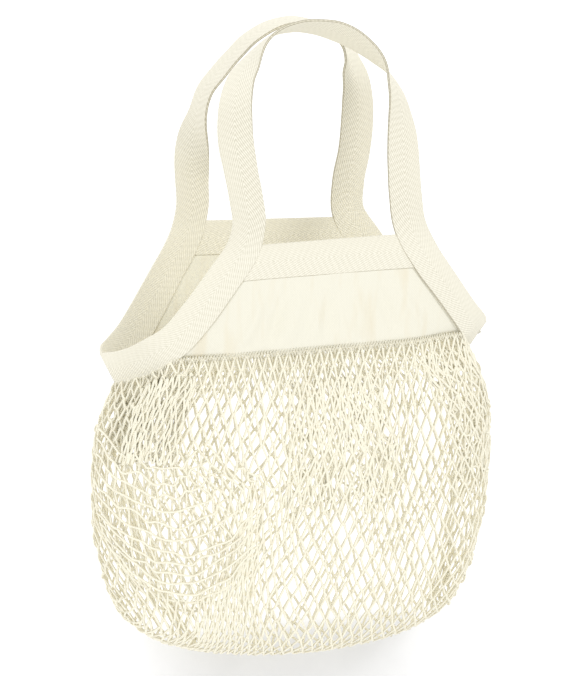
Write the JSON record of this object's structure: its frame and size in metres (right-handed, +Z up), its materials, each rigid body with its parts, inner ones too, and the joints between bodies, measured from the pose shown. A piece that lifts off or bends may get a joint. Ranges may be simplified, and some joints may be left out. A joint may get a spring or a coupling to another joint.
{
  "type": "mesh market bag",
  "caption": "Open cotton net shopping bag with canvas mouth panels, tape-edged sides and a pair of long carry loops, lying on its back panel.",
  "frame": {"origin": "on the floor, under the middle of the bag's bounding box", "axes": "+Y from the foot of the net towards the carry loops, +Z up through the front panel, +X to the right as the front panel is seen"},
  "size_m": [0.3072, 0.465, 0.101],
  "materials": {
    "cotton_net_cord": "undyed cotton cord, matt and slightly fuzzy",
    "cotton_canvas": "undyed plain-weave cotton canvas, matt",
    "cotton_herringbone_tape": "undyed herringbone cotton tape, matt"
  },
  "bodies": {
    "root": {"net_body": "cotton_net_cord", "front_panel": "cotton_canvas", "back_panel": "cotton_canvas", "front_top_tape": "cotton_herringbone_tape", "back_top_tape": "cotton_herringbone_tape", "front_handle_tape": "cotton_herringbone_tape", "back_handle_tape": "cotton_herringbone_tape"}
  },
  "joints": []
}
